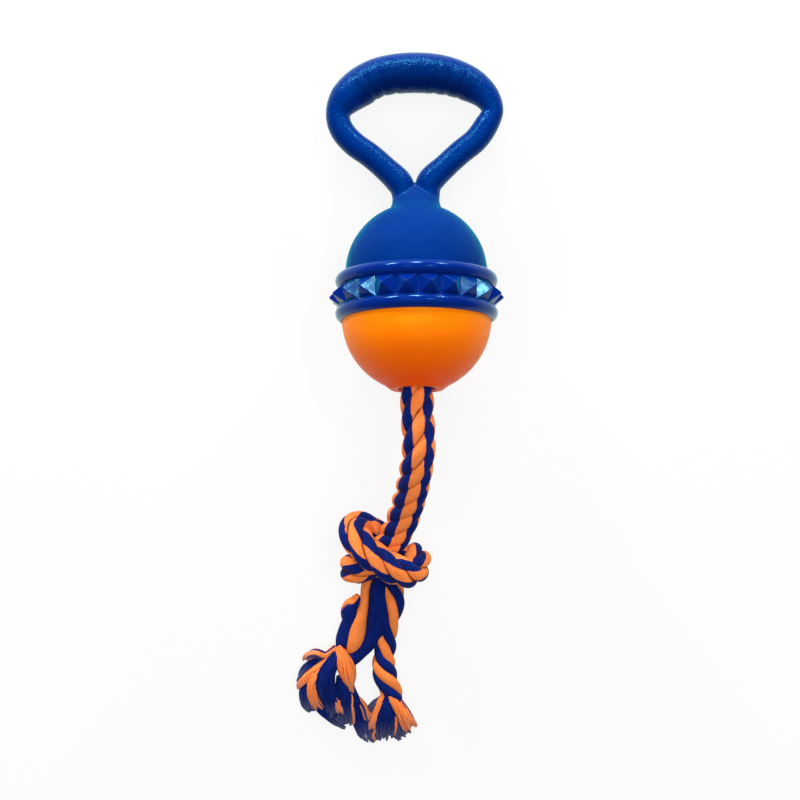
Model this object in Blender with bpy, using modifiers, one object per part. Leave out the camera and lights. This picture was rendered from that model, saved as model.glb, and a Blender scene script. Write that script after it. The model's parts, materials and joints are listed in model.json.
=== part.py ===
"""Throw and tug toy: a hollow ball with a loop handle on one side and a knotted rope on the other.

The toy lies on a floor at z = 0, as it is put down: the loop's bar and the ball's teeth touch the floor, and the
rope droops from the ball's mouth to its knot and its two frayed tails.
World frame: +Y runs from the rope to the handle, +X across the handle, +Z up. Metres.
Ball frame: its own +Z runs along the ball's axis to the handle, +X across the handle, -Y away from the floor.
"""

import math

import bmesh
import bpy
from mathutils import Euler, Matrix, Vector

MM = 0.001

# Ball: two half shells and a toothed ring that holds them together. The ball's frame has its origin in the
# middle of the ring, so the dome's centre lies above z = 0 and the lower shell's centre below it.
BALL_RADIUS = 35.0 * MM
DOME_STEP = 1.7 * MM
SHELL_WALL = 3.5 * MM
LIP_STEP = 0.3 * MM
JOIN_GAP = 0.3 * MM
SHELL_STEPS = 48

# Toothed ring
RING_STEP = 0.7 * MM
RING_WALL = 3.5 * MM
BEAD_RADIUS = 3.5 * MM
BEAD_SINK = 0.5 * MM
BEAD_Z = 7.7 * MM
BEAD_STEPS = 9
SEAT_ABOVE_BEAD = 2.1 * MM
DOME_ABOVE_BEAD = 3.5 * MM
LOWER_BELOW_BEAD = 2.0 * MM
TOOTH_COUNT = 22
TOOTH_DEPTH = 5.5 * MM
TOOTH_HEIGHT = 9.4 * MM
TOOTH_GAP = 1.1 * MM

# Mouth that the rope passes through
MOUTH_FLAT_WIDTH = 3.0 * MM
MOUTH_CHAMFER = 0.8 * MM
BOSS_WALL = 4.6 * MM
BOSS_DEPTH = 6.6 * MM

# Handle loop: half of its centreline, bar to foot, as (x, height above the dome's crown, radius) in the ball frame
BAR_RISE = 63.9 * MM
BAR_RADIUS = 9.6 * MM
HANDLE_LINE = (
    (0.0, BAR_RISE, BAR_RADIUS),
    (10.1 * MM, 63.2 * MM, 9.5 * MM),
    (18.8 * MM, 61.1 * MM, 9.2 * MM),
    (27.0 * MM, 57.1 * MM, 8.6 * MM),
    (33.4 * MM, 51.5 * MM, 7.5 * MM),
    (36.2 * MM, 44.5 * MM, 6.2 * MM),
    (34.6 * MM, 37.5 * MM, 5.9 * MM),
    (29.2 * MM, 31.3 * MM, 5.9 * MM),
    (21.6 * MM, 25.7 * MM, 5.9 * MM),
    (14.4 * MM, 19.3 * MM, 5.9 * MM),
    (9.1 * MM, 12.1 * MM, 5.8 * MM),
    (6.4 * MM, 4.5 * MM, 5.6 * MM),
    (5.6 * MM, -4.5 * MM, 5.6 * MM),
)
LOOP_STEPS = 4
WEB_RISE = 1.5 * MM
WEB_SHAPE = (8.5 * MM, 4.6 * MM, 10.5 * MM)
SPIGOT_RADIUS = 7.0 * MM
SPIGOT_LENGTH = 5.0 * MM
SPIGOT_ROOT = 3.5 * MM

# Rope
ROPE_RADIUS = 7.95 * MM
ROPE_HOLE_GAP = 0.45 * MM
ROPE_GAP = 0.3 * MM
ROPE_LEAD = 5.0 * MM
STOPPER_BULGE = 7.05 * MM
STOPPER_HALF_HEIGHT = 12.0 * MM
KNOT_SQUEEZE = 0.35 * MM
KNOT_CORE_RADIUS = 10.0 * MM
KNOT_VOXEL = 2.3 * MM
KNOT_REACH = 83.1 * MM
KNOT_SIDE = 15.1 * MM
KNOT_HEIGHT = 20.0 * MM
TAIL_RADIUS = 5.6 * MM
TAIL_BULGE = 4.5 * MM
TAIL_STEPS = 16
ROUTE_STEPS = 3
TUFT_GAP = 0.4 * MM
TUFT_SPREAD = 0.6 * MM
TUFT_RISE = 0.4 * MM
TUFT_SIDES = 20
TUFT_STEPS = 3

# Sizes that follow
DOME_RADIUS = BALL_RADIUS - DOME_STEP
DOME_CENTRE_Z = BEAD_Z + DOME_ABOVE_BEAD
DOME_CROWN_Z = DOME_CENTRE_Z + DOME_RADIUS
LOWER_CENTRE_Z = -BEAD_Z - LOWER_BELOW_BEAD
RING_RADIUS = BALL_RADIUS + RING_STEP
RING_BORE = RING_RADIUS - RING_WALL
RING_SEAT_Z = BEAD_Z + SEAT_ABOVE_BEAD
BEAD_CIRCLE_RADIUS = BALL_RADIUS - BEAD_SINK
TOOTH_TIP_RADIUS = RING_RADIUS + TOOTH_DEPTH
LIP_RADIUS = RING_BORE - JOIN_GAP
LIP_BORE = DOME_RADIUS - SHELL_WALL - LIP_STEP
SHOULDER_Z = RING_SEAT_Z + JOIN_GAP
ROPE_HOLE_RADIUS = ROPE_RADIUS + ROPE_HOLE_GAP
MOUTH_FLAT_RADIUS = ROPE_HOLE_RADIUS + MOUTH_CHAMFER + MOUTH_FLAT_WIDTH
MOUTH_Z = LOWER_CENTRE_Z - math.sqrt(BALL_RADIUS**2 - MOUTH_FLAT_RADIUS**2)
BAR_Z = DOME_CROWN_Z + BAR_RISE
STOPPER_RADIUS = ROPE_RADIUS + STOPPER_BULGE
KNOT_ROPE_RADIUS = ROPE_RADIUS - KNOT_SQUEEZE

# Lie of the toy: the bar and the two lowest teeth touch the floor, which sets the ball's tilt and height
TOOTH_PITCH = 2 * math.pi / TOOTH_COUNT
FOOT_RADIUS = TOOTH_TIP_RADIUS * math.cos(TOOTH_PITCH / 2)
TILT = math.acos(BAR_RADIUS / math.hypot(BAR_Z, FOOT_RADIUS)) - math.atan2(BAR_Z, FOOT_RADIUS)
Y_FRONT = BAR_Z * math.cos(TILT) + BAR_RADIUS
Y_BACK = MOUTH_Z * math.cos(TILT) - MOUTH_FLAT_RADIUS * math.sin(TILT)
BALL_CENTRE = Vector((0.0, -(Y_FRONT + Y_BACK) / 2, FOOT_RADIUS * math.cos(TILT)))
TO_HANDLE = Vector((0.0, math.cos(TILT), -math.sin(TILT)))
BALL_TURN = Euler((-(math.pi / 2 + TILT), 0.0, 0.0))
MOUTH = BALL_CENTRE + MOUTH_Z * TO_HANDLE


def on_run(share, x, z):
    """World position of a point on the rope's run: its share of the way to the knot, side and height in mm."""
    return Vector((MOUTH.x + x * MM, MOUTH.y - share * KNOT_REACH, z * MM))


def from_knot(x, y, z):
    """World position of a rope point, given in millimetres from the floor under the knot's centre."""
    return Vector((MOUTH.x - KNOT_SIDE, MOUTH.y - KNOT_REACH, 0.0)) + Vector((x, y, z)) * MM


# Joint centres
SWING_PIVOT = MOUTH - (ROPE_RADIUS + ROPE_GAP) * TO_HANDLE
LEFT_TAIL_PIVOT = from_knot(-5.7, -24.8, 11.0)
RIGHT_TAIL_PIVOT = from_knot(6.5, -24.8, 11.0)

# Routes. The rope leaves the mouth along the ball's axis and droops to the floor.
ROPE_ROUTE = (
    on_run(0.2623, 0.7, 55.0),
    on_run(0.3887, 0.4, 53.0),
    on_run(0.5090, -1.0, 47.6),
    on_run(0.6294, -2.8, 40.0),
    on_run(0.7304, -4.9, 33.0),
    on_run(0.8147, -7.0, 28.4),
)
# Centreline of the overhand knot, from where the rope enters to where its strands part, about the knot's centre
KNOT_CENTRE = from_knot(0.0, 0.0, KNOT_HEIGHT / MM)
KNOT_ROUTE = (
    (7.8, 14.7, 7.9),
    (4.2, 6.6, 3.0),
    (-2.4, -1.4, 2.0),
    (-9.4, -7.2, -0.6),
    (-14.6, -9.4, -5.6),
    (-11.0, -10.4, -11.4),
    (-1.0, -8.8, -12.5),
    (9.6, -5.6, -10.4),
    (15.2, -4.6, -3.0),
    (13.2, -9.0, 6.0),
    (5.8, -7.0, 11.6),
    (-2.2, -2.4, 12.8),
    (-9.8, 3.6, 11.2),
    (-14.6, 10.2, 5.0),
    (-11.6, 11.4, -3.4),
    (-4.2, 6.6, -8.0),
    (0.2, -1.6, -7.6),
    (0.6, -10.4, -7.8),
    (0.4, -18.8, -8.4),
)
# Tails, unlaid below the knot: (centre, half width, half height) of each section. The left one is loose and flat.
LEFT_TAIL = (
    (LEFT_TAIL_PIVOT, TAIL_RADIUS, TAIL_RADIUS),
    (from_knot(-8.9, -30.8, 9.5), TAIL_RADIUS + 0.6 * TAIL_BULGE, TAIL_RADIUS),
    (from_knot(-11.3, -36.7, 8.2), TAIL_RADIUS + TAIL_BULGE, TAIL_RADIUS),
    (from_knot(-14.1, -43.9, 7.1), TAIL_RADIUS + 0.85 * TAIL_BULGE, TAIL_RADIUS),
    (from_knot(-16.4, -50.1, 6.6), TAIL_RADIUS + 0.7 * TAIL_BULGE, TAIL_RADIUS),
    (from_knot(-19.1, -55.8, 6.4), TAIL_RADIUS + 0.6 * TAIL_BULGE, TAIL_RADIUS),
)
RIGHT_TAIL = (
    (RIGHT_TAIL_PIVOT, TAIL_RADIUS, TAIL_RADIUS),
    (from_knot(6.3, -35.7, 8.8), TAIL_RADIUS, TAIL_RADIUS),
    (from_knot(2.3, -45.7, 7.0), TAIL_RADIUS, TAIL_RADIUS),
    (from_knot(-0.2, -55.2, 6.3), TAIL_RADIUS, TAIL_RADIUS),
    (from_knot(0.5, -63.8, 6.2), TAIL_RADIUS, TAIL_RADIUS),
    (from_knot(2.5, -70.7, 6.2), TAIL_RADIUS, TAIL_RADIUS),
)
# Frayed ends, on from each tail's end, as fans that lie on the floor
LEFT_TUFT = (
    (from_knot(-25.4, -60.1, 7.0), 14.0 * MM, 6.9 * MM),
    (from_knot(-27.1, -67.9, 7.8), 16.8 * MM, 7.7 * MM),
    (from_knot(-25.3, -77.4, 7.4), 18.0 * MM, 7.3 * MM),
    (from_knot(-22.8, -86.2, 6.0), 18.6 * MM, 5.9 * MM),
)
RIGHT_TUFT = (
    (from_knot(3.3, -77.5, 6.4), 8.2 * MM, 6.3 * MM),
    (from_knot(4.7, -86.5, 6.8), 10.2 * MM, 6.7 * MM),
    (from_knot(6.3, -95.5, 5.6), 10.6 * MM, 5.5 * MM),
)

parts = bpy.data.collections.new("throw_and_tug_toy")
cutters = bpy.data.collections.new("cutters")


def clear_scene():
    for obj in list(bpy.data.objects):
        bpy.data.objects.remove(obj, do_unlink=True)
    bpy.context.scene.collection.children.link(parts)
    bpy.context.scene.collection.children.link(cutters)


def material(name, colour, roughness):
    mat = bpy.data.materials.new(name)
    mat.use_nodes = True
    shader = mat.node_tree.nodes["Principled BSDF"]
    shader.inputs["Base Color"].default_value = (*colour, 1.0)
    shader.inputs["Roughness"].default_value = roughness
    mat.diffuse_color = (*colour, 1.0)
    return mat


def add_object(name, mesh, mat=None, collection=parts):
    obj = bpy.data.objects.new(name, mesh)
    collection.objects.link(obj)
    if mat:
        mesh.materials.clear()
        mesh.materials.append(mat)
        mesh.shade_smooth()
        mesh.set_sharp_from_angle(angle=math.radians(40))
    return obj


def hide_guide(obj):
    obj.hide_render = True
    obj.display_type = "WIRE"
    return obj


def add_empty(name, location, rotation=Euler((0, 0, 0)), parent=None):
    empty = bpy.data.objects.new(name, None)
    empty.empty_display_size = 10 * MM
    parts.objects.link(empty)
    empty.matrix_world = Matrix.LocRotScale(location, rotation, None)
    bpy.context.view_layer.update()
    if parent:
        keep_place(empty, parent)
    return empty


def keep_place(obj, parent):
    """Parent obj without moving it."""
    bpy.context.view_layer.update()
    obj.parent = parent
    obj.matrix_parent_inverse = parent.matrix_world.inverted()


def evaluated_mesh(obj):
    bpy.context.view_layer.update()
    graph = bpy.context.evaluated_depsgraph_get()
    return bpy.data.meshes.new_from_object(obj.evaluated_get(graph))


def baked(obj):
    """The object's evaluated mesh, with the object and its modifiers gone."""
    mesh = evaluated_mesh(obj)
    bpy.data.objects.remove(obj, do_unlink=True)
    return mesh


def arc(centre_x, centre_z, radius, start, end, count):
    """Points of an arc in the XZ plane; the angle runs from +X towards +Z, in degrees."""
    points = []
    for i in range(count + 1):
        angle = math.radians(start + (end - start) * i / count)
        points.append((centre_x + radius * math.cos(angle), centre_z + radius * math.sin(angle)))
    return points


def turned(name, profile, steps, closed=True):
    """A profile of (radius, z) points, run down its outer side, turned about Z with a Screw modifier."""
    mesh = bpy.data.meshes.new(name)
    count = len(profile)
    edges = [(i, i + 1) for i in range(count - 1)]
    if closed:
        edges.append((count - 1, 0))
    mesh.from_pydata([(r, 0.0, z) for r, z in profile], edges, [])
    obj = add_object(name + "_profile", mesh)
    screw = obj.modifiers.new("turn", "SCREW")
    screw.axis = "Z"
    screw.steps = steps
    screw.render_steps = steps
    screw.use_merge_vertices = True
    screw.merge_threshold = 0.00001
    screw.use_smooth_shade = True
    return baked(obj)


def smooth_points(points, steps, values=None):
    """Catmull-Rom curve through the points, with a radius list that follows it when values are given."""
    rows = [Vector((*p, v)) for p, v in zip(points, values or [1.0] * len(points))]
    rows = [2 * rows[0] - rows[1]] + rows + [2 * rows[-1] - rows[-2]]
    out = []
    for i in range(1, len(rows) - 2):
        a, b, c, d = rows[i - 1 : i + 3]
        for k in range(steps):
            t = k / steps
            out.append(
                0.5 * (2 * b + (c - a) * t + (2 * a - 5 * b + 4 * c - d) * t**2 + (3 * b - a - 3 * c + d) * t**3)
            )
    out.append(rows[-2])
    return [Vector(row[:3]) for row in out], [row[3] for row in out]


def tube(name, points, radii, bevel_resolution):
    """A welded tube mesh along the points, each with its own radius."""
    curve = bpy.data.curves.new(name, "CURVE")
    curve.dimensions = "3D"
    curve.bevel_depth = 1.0
    curve.bevel_resolution = bevel_resolution
    curve.use_fill_caps = True
    spline = curve.splines.new("POLY")
    spline.points.add(len(points) - 1)
    for slot, point, radius in zip(spline.points, points, radii):
        slot.co = (*point, 1.0)
        slot.radius = radius
    mesh = baked(add_object(name + "_curve", curve))
    weld(mesh)
    return mesh


def weld(mesh):
    work = bmesh.new()
    work.from_mesh(mesh)
    bmesh.ops.remove_doubles(work, verts=work.verts, dist=0.000001)
    bmesh.ops.recalc_face_normals(work, faces=work.faces)
    work.to_mesh(mesh)
    work.free()


def round_end(points, radius, steps=4):
    """Points and radii of a tube, with a half ball ahead of its first point, whose centre is that point."""
    along = (points[1] - points[0]).normalized()
    radii = [radius] * len(points)
    head, head_radii = [], []
    for i in range(steps):
        angle = math.pi / 2 * (i + 1 / 3) / steps
        head.append(points[0] - along * radius * math.cos(angle))
        head_radii.append(radius * math.sin(angle))
    return head + points, head_radii + radii


def boolean(obj, cutter, operation):
    mod = obj.modifiers.new(operation.lower(), "BOOLEAN")
    mod.operation = operation
    mod.solver = "EXACT"
    mod.object = cutter
    return mod


def cylinder_mesh(name, radius, z_low, z_high, sides=32):
    work = bmesh.new()
    middle = Matrix.Translation((0, 0, (z_low + z_high) / 2))
    bmesh.ops.create_cone(
        work, cap_ends=True, segments=sides, radius1=radius, radius2=radius, depth=z_high - z_low, matrix=middle
    )
    mesh = bpy.data.meshes.new(name)
    work.to_mesh(mesh)
    work.free()
    return mesh


def sphere_mesh(name, radius, centre, segments=48, rings=24, scale=(1, 1, 1)):
    work = bmesh.new()
    place = Matrix.Translation(centre) @ Matrix.Diagonal((*scale, 1))
    bmesh.ops.create_uvsphere(work, u_segments=segments, v_segments=rings, radius=radius, matrix=place)
    mesh = bpy.data.meshes.new(name)
    work.to_mesh(mesh)
    work.free()
    return mesh


def handle_loop(mat):
    """The loop's tube with its neck web, cut to sit on the dome, and the spigot that plugs into the dome."""
    right = [(Vector((x, 0.0, DOME_CROWN_Z + rise)), r) for x, rise, r in HANDLE_LINE]
    left = [(Vector((-p.x, 0.0, p.z)), r) for p, r in reversed(right[1:])]
    line = left + right
    points, radii = smooth_points([p for p, _ in line], LOOP_STEPS, [r for _, r in line])
    loop = add_object("handle_loop", tube("handle_loop", points, radii, 5), mat)
    web_mesh = sphere_mesh("neck_web", 1.0, (0, 0, DOME_CROWN_Z + WEB_RISE), 24, 12, WEB_SHAPE)
    web = hide_guide(add_object("neck_web", web_mesh, collection=cutters))
    seat_mesh = sphere_mesh("dome_seat", DOME_RADIUS + JOIN_GAP, (0, 0, DOME_CENTRE_Z))
    seat = hide_guide(add_object("dome_seat", seat_mesh, collection=cutters))
    spigot_top = DOME_CROWN_Z + SPIGOT_ROOT
    spigot_mesh = cylinder_mesh("neck_spigot", SPIGOT_RADIUS, DOME_CROWN_Z - SPIGOT_LENGTH, spigot_top)
    spigot = hide_guide(add_object("neck_spigot", spigot_mesh, collection=cutters))
    boolean(loop, web, "UNION")
    boolean(loop, seat, "DIFFERENCE")
    boolean(loop, spigot, "UNION")
    return loop


def dome_shell(mat):
    """Blue half shell under the handle, with the spigot's hole and a lip that plugs into the toothed ring."""
    hole = SPIGOT_RADIUS + JOIN_GAP
    inner_radius = DOME_RADIUS - SHELL_WALL
    crown = math.degrees(math.acos(hole / DOME_RADIUS))
    shoulder = math.degrees(math.asin((SHOULDER_Z - DOME_CENTRE_Z) / DOME_RADIUS))
    inner_low = math.degrees(math.acos(LIP_BORE / inner_radius))
    inner_high = math.degrees(math.acos(hole / inner_radius))
    profile = arc(0, DOME_CENTRE_Z, DOME_RADIUS, crown, shoulder, 10)
    profile += [(LIP_RADIUS, SHOULDER_Z), (LIP_RADIUS, JOIN_GAP / 2), (LIP_BORE, JOIN_GAP / 2)]
    profile += arc(0, DOME_CENTRE_Z, inner_radius, inner_low, inner_high, 7)
    return add_object("dome_shell", turned("dome_shell", profile, SHELL_STEPS), mat)


def lower_shell(mat):
    """Orange half shell with the rope's mouth: a flat face, a chamfered hole and a boss inside."""
    boss = ROPE_HOLE_RADIUS + BOSS_WALL
    boss_top = MOUTH_Z + BOSS_DEPTH
    inner_radius = BALL_RADIUS - SHELL_WALL
    shoulder = math.degrees(math.asin((-SHOULDER_Z - LOWER_CENTRE_Z) / BALL_RADIUS))
    flat = -math.degrees(math.acos(MOUTH_FLAT_RADIUS / BALL_RADIUS))
    inner_low = -math.degrees(math.acos(boss / inner_radius))
    profile = [(LIP_BORE, -JOIN_GAP / 2), (LIP_RADIUS, -JOIN_GAP / 2), (LIP_RADIUS, -SHOULDER_Z)]
    profile += arc(0, LOWER_CENTRE_Z, BALL_RADIUS, shoulder, flat, 12)
    profile += [(ROPE_HOLE_RADIUS + MOUTH_CHAMFER, MOUTH_Z), (ROPE_HOLE_RADIUS, MOUTH_Z + MOUTH_CHAMFER)]
    profile += [(ROPE_HOLE_RADIUS, boss_top), (boss, boss_top)]
    profile += arc(0, LOWER_CENTRE_Z, inner_radius, inner_low, 0, 8)
    profile.append((LIP_BORE, LOWER_CENTRE_Z + inner_radius - LIP_BORE))
    return add_object("lower_shell", turned("lower_shell", profile, SHELL_STEPS), mat)


def tooth_ring(mat):
    """Band over both shells' lips, with a round bead at each end and a row of four-sided teeth between."""
    low = -math.degrees(math.acos((RING_RADIUS - BEAD_CIRCLE_RADIUS) / BEAD_RADIUS))
    profile = []
    for side, ball_radius in ((1, DOME_RADIUS), (-1, BALL_RADIUS)):
        skirt = ball_radius + JOIN_GAP
        top = math.degrees(math.acos((skirt - BEAD_CIRCLE_RADIUS) / BEAD_RADIUS))
        bead = arc(BEAD_CIRCLE_RADIUS, BEAD_Z, BEAD_RADIUS, top, low, BEAD_STEPS)
        half = [(r, side * z) for r, z in [(RING_BORE, RING_SEAT_Z), (skirt, RING_SEAT_Z)] + bead]
        profile += half if side > 0 else list(reversed(half))
    ring = add_object("tooth_ring", turned("tooth_ring", profile, TOOTH_COUNT * 3), mat)
    teeth = add_object("tooth_ring_teeth", teeth_mesh(), collection=cutters)
    boolean(ring, hide_guide(teeth), "UNION")
    return ring


def teeth_mesh():
    """Row of four-sided teeth whose points lie at TOOTH_TIP_RADIUS, joined in one mesh."""
    width = 2 * RING_RADIUS * math.sin(TOOTH_PITCH / 2) - TOOTH_GAP
    root = RING_WALL / 2
    depth = TOOTH_DEPTH + root
    spread = depth / TOOTH_DEPTH
    work = bmesh.new()
    for i in range(TOOTH_COUNT):
        turn = Matrix.Rotation(TOOTH_PITCH * (i + 0.5) - math.pi / 2, 4, "Z")
        place = Matrix.Translation((RING_RADIUS - root + depth / 2, 0, 0))
        tip_out = Matrix.Rotation(math.pi / 2, 4, "Y")
        stretch = Matrix.Diagonal((1, width / TOOTH_HEIGHT, 1, 1))
        bmesh.ops.create_cone(
            work,
            cap_ends=True,
            segments=4,
            radius1=TOOTH_HEIGHT / 2 * spread * math.sqrt(2),
            radius2=0,
            depth=depth,
            matrix=turn @ place @ stretch @ tip_out @ Matrix.Rotation(math.pi / 4, 4, "Z"),
        )
    bmesh.ops.remove_doubles(work, verts=work.verts, dist=0.000001)
    mesh = bpy.data.meshes.new("teeth")
    work.to_mesh(mesh)
    work.free()
    return mesh


def rope_stopper(mat):
    """Knot inside the ball that rests on the boss and holds the rope in, as its outer shape."""
    low = MOUTH_Z + BOSS_DEPTH + ROPE_GAP
    edge = math.degrees(math.acos(ROPE_RADIUS / STOPPER_RADIUS))
    side = [(r * STOPPER_RADIUS, z * STOPPER_HALF_HEIGHT) for r, z in arc(0, 0, 1.0, edge, -edge, 10)]
    rise = low - side[-1][1]
    profile = [(0.0, side[0][1] + rise)] + [(r, z + rise) for r, z in side] + [(0.0, low)]
    return add_object("rope_stopper", turned("rope_stopper", profile, 28, closed=False), mat)


def rope_throat(mat):
    """Stretch of rope inside the mouth's hole."""
    high = MOUTH_Z + BOSS_DEPTH
    return add_object("rope_throat", cylinder_mesh("rope_throat", ROPE_RADIUS, MOUTH_Z, high), mat)


def rope_run(mat):
    """Rope from the mouth to the knot, with a round upper end whose centre is the swing's axis."""
    straight = SWING_PIVOT - ROPE_LEAD * TO_HANDLE
    points, _ = smooth_points([SWING_PIVOT, straight, *ROPE_ROUTE], ROUTE_STEPS)
    points, radii = round_end(points, ROPE_RADIUS)
    return add_object("rope_run", tube("rope_run", points, radii, 4), mat)


def rope_knot(mat):
    """Overhand knot's outer shape: its tube and a core, remeshed into one body."""
    points, _ = smooth_points([KNOT_CENTRE + Vector(p) * MM for p in KNOT_ROUTE], 4)
    mesh = tube("rope_knot", points, [KNOT_ROPE_RADIUS] * len(points), 4)
    core = sphere_mesh("knot_core", KNOT_CORE_RADIUS, KNOT_CENTRE, 24, 12)
    work = bmesh.new()
    work.from_mesh(mesh)
    work.from_mesh(core)
    work.to_mesh(mesh)
    work.free()
    knot = add_object("rope_knot", mesh)
    remesh = knot.modifiers.new("one body", "REMESH")
    remesh.mode = "VOXEL"
    remesh.voxel_size = KNOT_VOXEL
    return add_object("rope_knot", baked(knot), mat)


def smooth_sections(sections, steps):
    """Sections of (centre, half width, half height), with smooth ones added between them."""
    centres, widths = smooth_points([c for c, _, _ in sections], steps, [w for _, w, _ in sections])
    _, heights = smooth_points([c for c, _, _ in sections], steps, [h for _, _, h in sections])
    return list(zip(centres, widths, heights))


def loft(name, sections, sides, mat, heading=None):
    """A closed loft of level ellipses, square to their line, or all square to heading when one is given."""
    work = bmesh.new()
    loops = []
    for i, (centre, width, height) in enumerate(sections):
        along = heading or (sections[min(i + 1, len(sections) - 1)][0] - sections[max(i - 1, 0)][0]).normalized()
        across = Vector((-along.y, along.x, 0.0)).normalized()
        upright = along.cross(across)
        loop = []
        for k in range(sides):
            angle = 2 * math.pi * k / sides
            loop.append(work.verts.new(centre + across * width * math.cos(angle) + upright * height * math.sin(angle)))
        loops.append(loop)
    for low, high in zip(loops, loops[1:]):
        for k in range(sides):
            nxt = (k + 1) % sides
            work.faces.new((low[k], low[nxt], high[nxt], high[k]))
    work.faces.new(loops[0])
    work.faces.new(loops[-1])
    bmesh.ops.recalc_face_normals(work, faces=work.faces)
    mesh = bpy.data.meshes.new(name)
    work.to_mesh(mesh)
    work.free()
    return add_object(name, mesh, mat)


def tail(name, sections, mat):
    """Unlaid tail of the rope, with a round upper end whose centre is its own swing's axis."""
    rows = smooth_sections(sections, ROUTE_STEPS)
    points, radii = round_end([centre for centre, _, _ in rows], TAIL_RADIUS)
    head = [(p, r, r) for p, r in zip(points, radii)][: len(points) - len(rows)]
    return loft(name, head + rows, TAIL_STEPS, mat)


def tuft(name, tail_sections, sections, mat):
    """Frayed end as a flat fan on the floor, which widens from the tail's end."""
    rows = smooth_sections(tail_sections, ROUTE_STEPS)
    end, width, height = rows[-1]
    heading = (end - rows[-2][0]).normalized()
    start = (end + heading * TUFT_GAP, width + TUFT_SPREAD, height + TUFT_RISE)
    return loft(name, smooth_sections([start, *sections], TUFT_STEPS), TUFT_SIDES, mat, heading)


def build():
    clear_scene()
    blue = material("blue rubber", (0.0, 0.045, 0.28), 0.4)
    orange = material("orange rubber", (1.0, 0.22, 0.0), 0.45)
    cotton = material("blue and orange cotton rope", (0.5, 0.14, 0.12), 0.9)

    ball_axis = add_empty("ball_axis", Vector((0, 0, 0)))
    for obj in (handle_loop(blue), dome_shell(blue), tooth_ring(blue), lower_shell(orange)):
        keep_place(obj, ball_axis)
    spin_axis = add_empty("rope_spin_axis", Vector((0, 0, MOUTH_Z)), parent=ball_axis)
    for obj in (rope_stopper(cotton), rope_throat(cotton)):
        keep_place(obj, spin_axis)
    for guide in cutters.objects:
        keep_place(guide, ball_axis)
    ball_axis.matrix_world = Matrix.LocRotScale(BALL_CENTRE, BALL_TURN, None)

    swing_pivot = add_empty("rope_swing_pivot", SWING_PIVOT, parent=spin_axis)
    for obj in (rope_run(cotton), rope_knot(cotton)):
        keep_place(obj, swing_pivot)
    for side, pivot, tail_sections, tuft_sections in (
        ("left", LEFT_TAIL_PIVOT, LEFT_TAIL, LEFT_TUFT),
        ("right", RIGHT_TAIL_PIVOT, RIGHT_TAIL, RIGHT_TUFT),
    ):
        tail_pivot = add_empty(side + "_tail_pivot", pivot, parent=swing_pivot)
        keep_place(tail(side + "_tail", tail_sections, cotton), tail_pivot)
        keep_place(tuft(side + "_tuft", tail_sections, tuft_sections, cotton), tail_pivot)


build()
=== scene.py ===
# %% [markdown]
# # Throw and tug toy
# The object is a rubber ball with a loop handle on one side and a cotton rope on the other. One half of the ball is
# blue, the other orange, and a band of four-sided teeth runs between two round beads. The toy lies on a floor and is
# seen from straight above, so its handle is at the top of the picture and the rope's frayed ends are at the bottom.
#
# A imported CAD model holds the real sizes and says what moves. This lesson dresses it: it loads the model as a fixed
# frame, makes finer pieces that ride on its bodies, and gives each of them a finish made of shader nodes.

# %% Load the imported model
import json
import math

import bmesh
import bpy
import numpy as np
from mathutils import Euler, Matrix, Vector, noise


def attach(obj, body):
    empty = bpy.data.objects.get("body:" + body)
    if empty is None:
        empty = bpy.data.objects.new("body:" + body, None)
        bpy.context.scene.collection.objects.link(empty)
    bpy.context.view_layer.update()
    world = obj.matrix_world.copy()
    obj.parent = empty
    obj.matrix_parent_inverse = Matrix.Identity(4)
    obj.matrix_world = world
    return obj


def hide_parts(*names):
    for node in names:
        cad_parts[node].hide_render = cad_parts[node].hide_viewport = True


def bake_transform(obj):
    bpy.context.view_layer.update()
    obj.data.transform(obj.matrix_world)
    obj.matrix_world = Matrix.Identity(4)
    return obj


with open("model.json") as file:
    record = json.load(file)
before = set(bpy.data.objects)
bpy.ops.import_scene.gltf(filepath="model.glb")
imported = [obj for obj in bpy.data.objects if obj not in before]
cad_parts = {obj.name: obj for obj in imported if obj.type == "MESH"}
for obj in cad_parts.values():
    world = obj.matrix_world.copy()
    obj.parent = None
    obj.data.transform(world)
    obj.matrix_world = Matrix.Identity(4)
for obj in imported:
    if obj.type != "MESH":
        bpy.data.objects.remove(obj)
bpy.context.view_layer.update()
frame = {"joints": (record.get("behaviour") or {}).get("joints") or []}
MM = 0.001


def scene_object(name, data):
    made = bpy.data.objects.new(name, data)
    bpy.context.scene.collection.objects.link(made)
    return made


# %% [markdown]
# ## The ball's own frame
# The ball lies tilted, so its parts are easiest to make in a frame of its own: Z along the ball's axis towards the
# handle, X across the handle, and -Y away from the floor. The joint that lets the rope turn lies on that axis at the
# mouth, so the frame is found from it, and follows the model if the model changes.

# %% Find the ball's frame from the rope's joint
MOUTH_Z = -42.505 * MM
joints = {joint["name"]: joint for joint in frame["joints"]}
MOUTH = Vector(joints["rope_spin"]["pos_m"])
TO_HANDLE = Vector(joints["rope_spin"]["axis"]).normalized()
SWING_PIVOT = Vector(joints["rope_swing"]["pos_m"])
TILT = math.atan2(-TO_HANDLE.z, TO_HANDLE.y)
BALL_CENTRE = MOUTH - MOUTH_Z * TO_HANDLE
BALL_PLACE = Matrix.LocRotScale(BALL_CENTRE, Euler((-(math.pi / 2 + TILT), 0, 0)), None)
print("ball's centre", [round(v / MM, 1) for v in BALL_CENTRE], "mm, tilt", round(math.degrees(TILT), 2), "degrees")
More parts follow.
